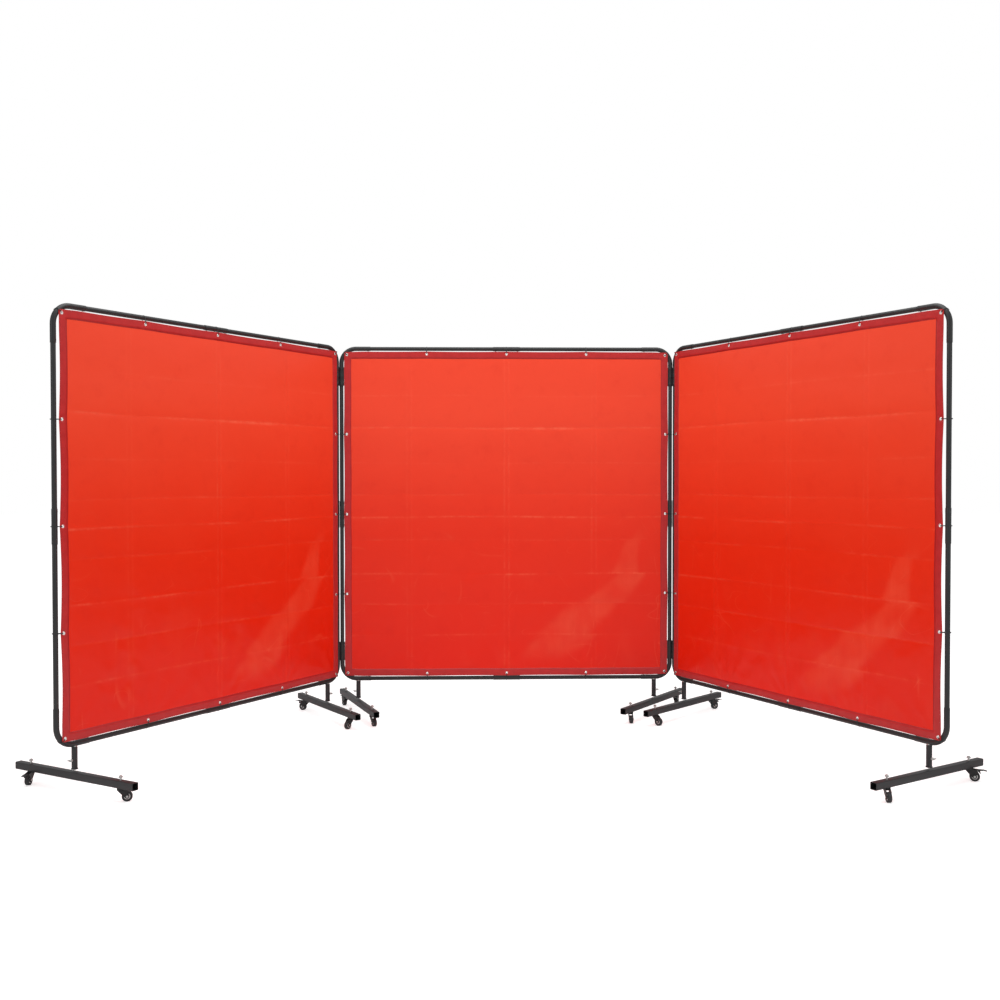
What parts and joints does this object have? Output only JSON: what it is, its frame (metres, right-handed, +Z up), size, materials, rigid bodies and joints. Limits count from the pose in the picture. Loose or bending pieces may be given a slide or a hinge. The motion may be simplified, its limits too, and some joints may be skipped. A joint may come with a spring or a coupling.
{
  "type": "welding curtain screen",
  "caption": "Folding welding screen: orange vinyl curtains tied in steel tube frames that stand edge to edge on swivelling caster feet.",
  "frame": {"origin": "middle of the bounding box's floor, on the surface that the screen stands on", "axes": "+X to the right along the centre panel, seen from inside the bay; +Y from the bay towards the back of the centre panel; +Z up"},
  "size_m": [4.2978, 2.138, 2.0825],
  "materials": {
    "frame_steel": "satin",
    "curtain_vinyl": "gloss",
    "caster_plastic": "satin",
    "wheel_tread": "matte",
    "clip_plastic": "satin"
  },
  "bodies": {
    "centre_panel": {"centre_top_rail": "frame_steel", "centre_bottom_rail": "frame_steel", "centre_left_post": "frame_steel", "centre_right_post": "frame_steel", "centre_curtain": "curtain_vinyl", "left_upper_clip": "clip_plastic", "left_lower_clip": "clip_plastic", "right_upper_clip": "clip_plastic", "right_lower_clip": "clip_plastic"},
    "left_panel": {"left_top_rail": "frame_steel", "left_bottom_rail": "frame_steel", "left_inner_post": "frame_steel", "left_outer_post": "frame_steel", "left_curtain": "curtain_vinyl"},
    "right_panel": {"right_top_rail": "frame_steel", "right_bottom_rail": "frame_steel", "right_inner_post": "frame_steel", "right_outer_post": "frame_steel", "right_curtain": "curtain_vinyl"},
    "centre_left_foot": {"centre_left_foot": "frame_steel"},
    "centre_left_front_caster": {"centre_left_front_fork": "caster_plastic"},
    "centre_left_front_wheel_hub": {"centre_left_front_wheel": "wheel_tread"},
    "centre_left_back_caster": {"centre_left_back_fork": "caster_plastic"},
    "centre_left_back_wheel_hub": {"centre_left_back_wheel": "wheel_tread"},
    "centre_left_brake": {"centre_left_brake_pedal": "caster_plastic"},
    "centre_right_foot": {"centre_right_foot": "frame_steel"},
    "centre_right_front_caster": {"centre_right_front_fork": "caster_plastic"},
    "centre_right_front_wheel_hub": {"centre_right_front_wheel": "wheel_tread"},
    "centre_right_back_caster": {"centre_right_back_fork": "caster_plastic"},
    "centre_right_back_wheel_hub": {"centre_right_back_wheel": "wheel_tread"},
    "centre_right_brake": {"centre_right_brake_pedal": "caster_plastic"},
    "left_inner_foot": {"left_inner_foot": "frame_steel"},
    "left_inner_front_caster": {"left_inner_front_fork": "caster_plastic"},
    "left_inner_front_wheel_hub": {"left_inner_front_wheel": "wheel_tread"},
    "left_inner_back_caster": {"left_inner_back_fork": "caster_plastic"},
    "left_inner_back_wheel_hub": {"left_inner_back_wheel": "wheel_tread"},
    "left_inner_brake": {"left_inner_brake_pedal": "caster_plastic"},
    "left_outer_foot": {"left_outer_foot": "frame_steel"},
    "left_outer_front_caster": {"left_outer_front_fork": "caster_plastic"},
    "left_outer_front_wheel_hub": {"left_outer_front_wheel": "wheel_tread"},
    "left_outer_back_caster": {"left_outer_back_fork": "caster_plastic"},
    "left_outer_back_wheel_hub": {"left_outer_back_wheel": "wheel_tread"},
    "left_outer_brake": {"left_outer_brake_pedal": "caster_plastic"},
    "right_inner_foot": {"right_inner_foot": "frame_steel"},
    "right_inner_front_caster": {"right_inner_front_fork": "caster_plastic"},
    "right_inner_front_wheel_hub": {"right_inner_front_wheel": "wheel_tread"},
    "right_inner_back_caster": {"right_inner_back_fork": "caster_plastic"},
    "right_inner_back_wheel_hub": {"right_inner_back_wheel": "wheel_tread"},
    "right_inner_brake": {"right_inner_brake_pedal": "caster_plastic"},
    "right_outer_foot": {"right_outer_foot": "frame_steel"},
    "right_outer_front_caster": {"right_outer_front_fork": "caster_plastic"},
    "right_outer_front_wheel_hub": {"right_outer_front_wheel": "wheel_tread"},
    "right_outer_back_caster": {"right_outer_back_fork": "caster_plastic"},
    "right_outer_back_wheel_hub": {"right_outer_back_wheel": "wheel_tread"},
    "right_outer_brake": {"right_outer_brake_pedal": "caster_plastic"}
  },
  "joints": [
    {"name": "left_fold", "type": "hinge", "parent": "centre_panel", "child": "left_panel", "pos_m": [-0.88541, 0.71511, 1], "axis": [0, 0, -1], "range_deg": [-9, 32]},
    {"name": "right_fold", "type": "hinge", "parent": "centre_panel", "child": "right_panel", "pos_m": [1.0211, 0.71405, 1], "axis": [0, 0, 1], "range_deg": [-10, 32]},
    {"name": "centre_left_foot_swivel", "type": "hinge", "parent": "centre_panel", "child": "centre_left_foot", "pos_m": [-0.77085, 0.72867, 0.144], "axis": [0, 0, 1], "range_deg": [-10, 15]},
    {"name": "centre_left_front_caster_swivel", "type": "hinge", "parent": "centre_left_foot", "child": "centre_left_front_caster", "pos_m": [-0.67051, 0.46726, 0.053], "axis": [0, 0, 1], "continuous": true},
    {"name": "centre_left_front_wheel_spin", "type": "hinge", "parent": "centre_left_front_caster", "child": "centre_left_front_wheel_hub", "pos_m": [-0.65877, 0.44519, 0.022], "axis": [0.8829, 0.4695, 0], "continuous": true},
    {"name": "centre_left_back_caster_swivel", "type": "hinge", "parent": "centre_left_foot", "child": "centre_left_back_caster", "pos_m": [-0.87119, 0.99007, 0.053], "axis": [0, 0, 1], "continuous": true},
    {"name": "centre_left_back_wheel_spin", "type": "hinge", "parent": "centre_left_back_caster", "child": "centre_left_back_wheel_hub", "pos_m": [-0.88293, 1.01214, 0.022], "axis": [-0.8829, -0.4695, 0], "continuous": true},
    {"name": "centre_left_brake_press", "type": "hinge", "parent": "centre_left_back_caster", "child": "centre_left_brake", "pos_m": [-0.88809, 1.02185, 0.049], "axis": [-0.8829, -0.4695, 0], "range_deg": [0, 12]},
    {"name": "centre_right_foot_swivel", "type": "hinge", "parent": "centre_panel", "child": "centre_right_foot", "pos_m": [0.90715, 0.72867, 0.144], "axis": [0, 0, 1], "range_deg": [-22, 12]},
    {"name": "centre_right_front_caster_swivel", "type": "hinge", "parent": "centre_right_foot", "child": "centre_right_front_caster", "pos_m": [0.74099, 0.5033, 0.053], "axis": [0, 0, 1], "continuous": true},
    {"name": "centre_right_front_wheel_spin", "type": "hinge", "parent": "centre_right_front_caster", "child": "centre_right_front_wheel_hub", "pos_m": [0.74186, 0.47831, 0.022], "axis": [0.9994, 0.0349, 0], "continuous": true},
    {"name": "centre_right_back_caster_swivel", "type": "hinge", "parent": "centre_right_foot", "child": "centre_right_back_caster", "pos_m": [1.07331, 0.95404, 0.053], "axis": [0, 0, 1], "continuous": true},
    {"name": "centre_right_back_wheel_spin", "type": "hinge", "parent": "centre_right_back_caster", "child": "centre_right_back_wheel_hub", "pos_m": [1.08427, 0.97651, 0.022], "axis": [-0.8988, 0.4384, 0], "continuous": true},
    {"name": "centre_right_brake_press", "type": "hinge", "parent": "centre_right_back_caster", "child": "centre_right_brake", "pos_m": [1.08909, 0.98639, 0.049], "axis": [-0.8988, 0.4384, 0], "range_deg": [0, 12]},
    {"name": "left_inner_foot_swivel", "type": "hinge", "parent": "left_panel", "child": "left_inner_foot", "pos_m": [-0.93337, 0.63895, 0.144], "axis": [0, 0, 1], "range_deg": [-25, 10]},
    {"name": "left_inner_front_caster_swivel", "type": "hinge", "parent": "left_inner_foot", "child": "left_inner_front_caster", "pos_m": [-0.78046, 0.40439, 0.053], "axis": [0, 0, 1], "continuous": true},
    {"name": "left_inner_front_wheel_spin", "type": "hinge", "parent": "left_inner_front_caster", "child": "left_inner_front_wheel_hub", "pos_m": [-0.79371, 0.38319, 0.022], "axis": [0.848, -0.5299, 0], "continuous": true},
    {"name": "left_inner_back_caster_swivel", "type": "hinge", "parent": "left_inner_foot", "child": "left_inner_back_caster", "pos_m": [-1.08628, 0.87351, 0.053], "axis": [0, 0, 1], "continuous": true},
    {"name": "left_inner_back_wheel_spin", "type": "hinge", "parent": "left_inner_back_caster", "child": "left_inner_back_wheel_hub", "pos_m": [-1.10793, 0.88601, 0.022], "axis": [-0.5, -0.866, 0], "continuous": true},
    {"name": "left_inner_brake_press", "type": "hinge", "parent": "left_inner_back_caster", "child": "left_inner_brake", "pos_m": [-1.11746, 0.89151, 0.049], "axis": [-0.5, -0.866, 0], "range_deg": [0, 12]},
    {"name": "left_outer_foot_swivel", "type": "hinge", "parent": "left_panel", "child": "left_outer_foot", "pos_m": [-1.82754, -0.78096, 0.144], "axis": [0, 0, 1], "range_deg": [-90, 90]},
    {"name": "left_outer_front_caster_swivel", "type": "hinge", "parent": "left_outer_foot", "child": "left_outer_front_caster", "pos_m": [-1.58728, -0.92475, 0.053], "axis": [0, 0, 1], "continuous": true},
    {"name": "left_outer_front_wheel_spin", "type": "hinge", "parent": "left_outer_front_caster", "child": "left_outer_front_wheel_hub", "pos_m": [-1.56313, -0.91828, 0.022], "axis": [-0.2588, 0.9659, 0], "continuous": true},
    {"name": "left_outer_back_caster_swivel", "type": "hinge", "parent": "left_outer_foot", "child": "left_outer_back_caster", "pos_m": [-2.0678, -0.63717, 0.053], "axis": [0, 0, 1], "continuous": true},
    {"name": "left_outer_back_wheel_spin", "type": "hinge", "parent": "left_outer_back_caster", "child": "left_outer_back_wheel_hub", "pos_m": [-2.06998, -0.66208, 0.022], "axis": [0.9962, -0.0872, 0], "continuous": true},
    {"name": "left_outer_brake_press", "type": "hinge", "parent": "left_outer_back_caster", "child": "left_outer_brake", "pos_m": [-2.07094, -0.67303, 0.049], "axis": [0.9962, -0.0872, 0], "range_deg": [0, 12]},
    {"name": "right_inner_foot_swivel", "type": "hinge", "parent": "right_panel", "child": "right_inner_foot", "pos_m": [1.06224, 0.634, 0.144], "axis": [0, 0, 1], "range_deg": [-12, 12]},
    {"name": "right_inner_front_caster_swivel", "type": "hinge", "parent": "right_inner_foot", "child": "right_inner_front_caster", "pos_m": [0.86529, 0.43498, 0.053], "axis": [0, 0, 1], "continuous": true},
    {"name": "right_inner_front_wheel_spin", "type": "hinge", "parent": "right_inner_front_caster", "child": "right_inner_front_wheel_hub", "pos_m": [0.88201, 0.4164, 0.022], "axis": [0.7431, 0.6691, 0], "continuous": true},
    {"name": "right_inner_back_caster_swivel", "type": "hinge", "parent": "right_inner_foot", "child": "right_inner_back_caster", "pos_m": [1.25919, 0.83302, 0.053], "axis": [0, 0, 1], "continuous": true},
    {"name": "right_inner_back_wheel_spin", "type": "hinge", "parent": "right_inner_back_caster", "child": "right_inner_back_wheel_hub", "pos_m": [1.28126, 0.84476, 0.022], "axis": [-0.4695, 0.8829, 0], "continuous": true},
    {"name": "right_inner_brake_press", "type": "hinge", "parent": "right_inner_back_caster", "child": "right_inner_brake", "pos_m": [1.29097, 0.84993, 0.049], "axis": [-0.4695, 0.8829, 0], "range_deg": [0, 12]},
    {"name": "right_outer_foot_swivel", "type": "hinge", "parent": "right_panel", "child": "right_outer_foot", "pos_m": [1.82925, -0.85844, 0.144], "axis": [0, 0, 1], "range_deg": [-90, 90]},
    {"name": "right_outer_front_caster_swivel", "type": "hinge", "parent": "right_outer_foot", "child": "right_outer_front_caster", "pos_m": [1.59051, -1.00474, 0.053], "axis": [0, 0, 1], "continuous": true},
    {"name": "right_outer_front_wheel_spin", "type": "hinge", "parent": "right_outer_front_caster", "child": "right_outer_front_wheel_hub", "pos_m": [1.58963, -1.02972, 0.022], "axis": [0.9994, -0.0349, 0], "continuous": true},
    {"name": "right_outer_back_caster_swivel", "type": "hinge", "parent": "right_outer_foot", "child": "right_outer_back_caster", "pos_m": [2.06799, -0.71214, 0.053], "axis": [0, 0, 1], "continuous": true},
    {"name": "right_outer_back_wheel_spin", "type": "hinge", "parent": "right_outer_back_caster", "child": "right_outer_back_wheel_hub", "pos_m": [2.09117, -0.72151, 0.022], "axis": [0.3746, 0.9272, 0], "continuous": true},
    {"name": "right_outer_brake_press", "type": "hinge", "parent": "right_outer_back_caster", "child": "right_outer_brake", "pos_m": [2.10136, -0.72563, 0.049], "axis": [0.3746, 0.9272, 0], "range_deg": [0, 12]}
  ]
}
